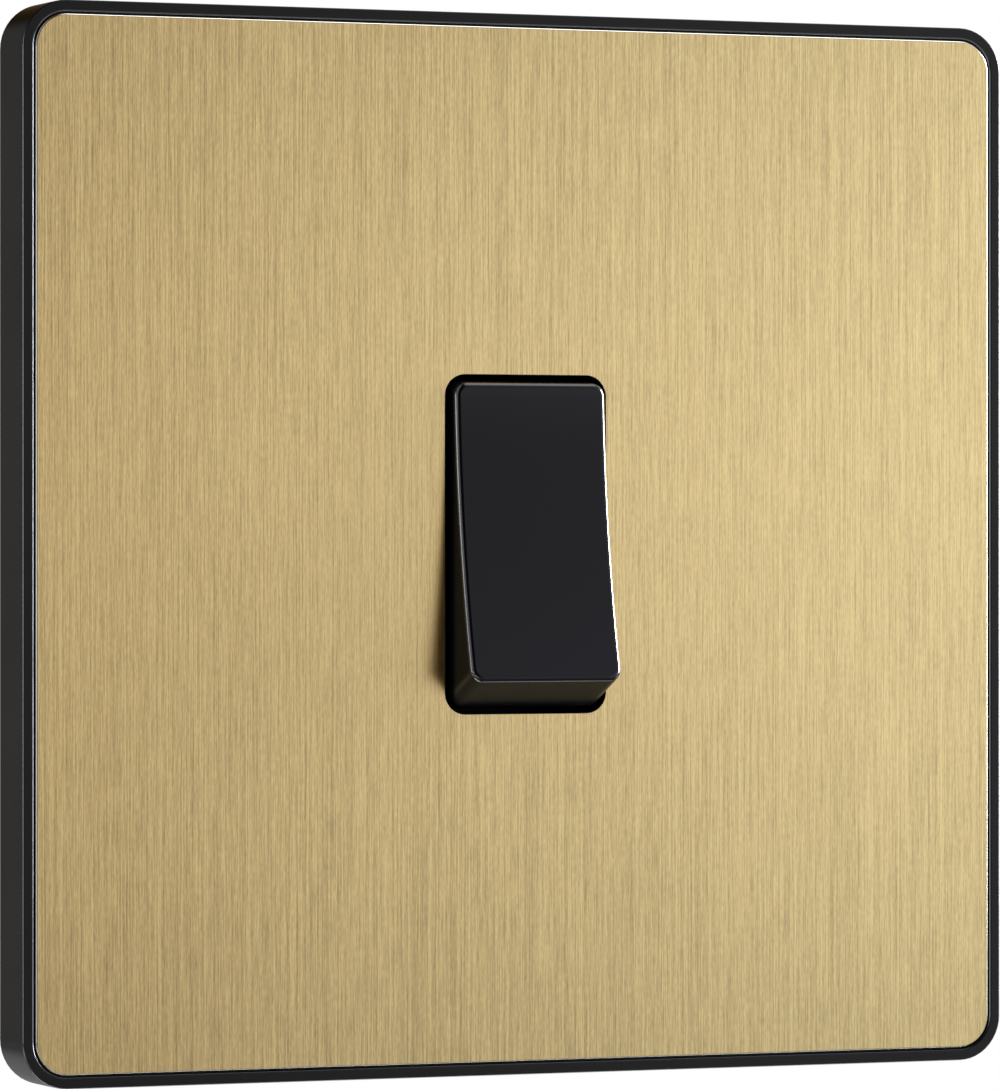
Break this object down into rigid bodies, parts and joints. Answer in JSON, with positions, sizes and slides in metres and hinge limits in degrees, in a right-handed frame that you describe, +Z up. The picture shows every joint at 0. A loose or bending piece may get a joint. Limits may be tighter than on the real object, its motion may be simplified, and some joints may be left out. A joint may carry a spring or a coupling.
{
  "type": "wall light switch",
  "caption": "Square wall light switch with a brushed brass face sheet in a slim black surround, a dished black rocker, a screw-on mounting frame and a see-saw contact mechanism.",
  "frame": {"origin": "Centre of the plate on the wall plane, where the front plate's rim meets the wall.", "axes": "+Z is up, -Y points out of the wall into the room, +X is to the right as seen from the room."},
  "size_m": [0.095, 0.03, 0.095],
  "materials": {
    "brushed_sheet": "brushed satin",
    "black_surround": "satin",
    "black_rocker": "semi-gloss",
    "dark_moulding": "matt",
    "pale_moulding": "matt",
    "natural_nylon": "satin",
    "terminal_brass": "machined",
    "copper_strip": "stamped",
    "silver_tip": "satin",
    "zinc_steel": "zinc plated",
    "spring_steel": "drawn wire"
  },
  "bodies": {
    "wall_side": {"face_plate": "brushed_sheet", "front_frame": "black_surround", "mounting_frame": "dark_moulding", "fixing_screws": "zinc_steel", "mechanism_base": "pale_moulding", "common_contact": "copper_strip", "l1_contact": "copper_strip", "l2_contact": "copper_strip", "fixed_contact_tips": "silver_tip", "common_terminal": "terminal_brass", "l1_terminal": "terminal_brass", "l2_terminal": "terminal_brass", "terminal_screws": "zinc_steel", "earth_strap": "copper_strip", "earth_terminal": "terminal_brass", "earth_screw": "zinc_steel"},
    "rocker": {"rocker": "black_rocker", "plunger_spring": "spring_steel"},
    "plunger": {"plunger": "natural_nylon"},
    "see_saw": {"moving_contact": "copper_strip", "moving_contact_tips": "silver_tip"}
  },
  "joints": [
    {"name": "rocker_tilt", "type": "hinge", "parent": "wall_side", "child": "rocker", "pos_m": [0, -0.0017, 0], "axis": [1, 0, 0], "range_deg": [0, 17]},
    {"name": "plunger_slide", "type": "slide", "parent": "rocker", "child": "plunger", "axis": [0, -0.989, 0.1478], "range_m": [0, 0.0008], "stiffness_N_per_m": 600, "springref_m": -0.0015, "deforming": ["plunger_spring"]},
    {"name": "contact_tilt", "type": "hinge", "parent": "wall_side", "child": "see_saw", "pos_m": [0, 0.00846, 0], "axis": [1, 0, 0], "range_deg": [-14, 0]}
  ],
  "couplings": [
    {"joint": "contact_tilt", "follows": "rocker_tilt", "ratio": -0.82353}
  ]
}
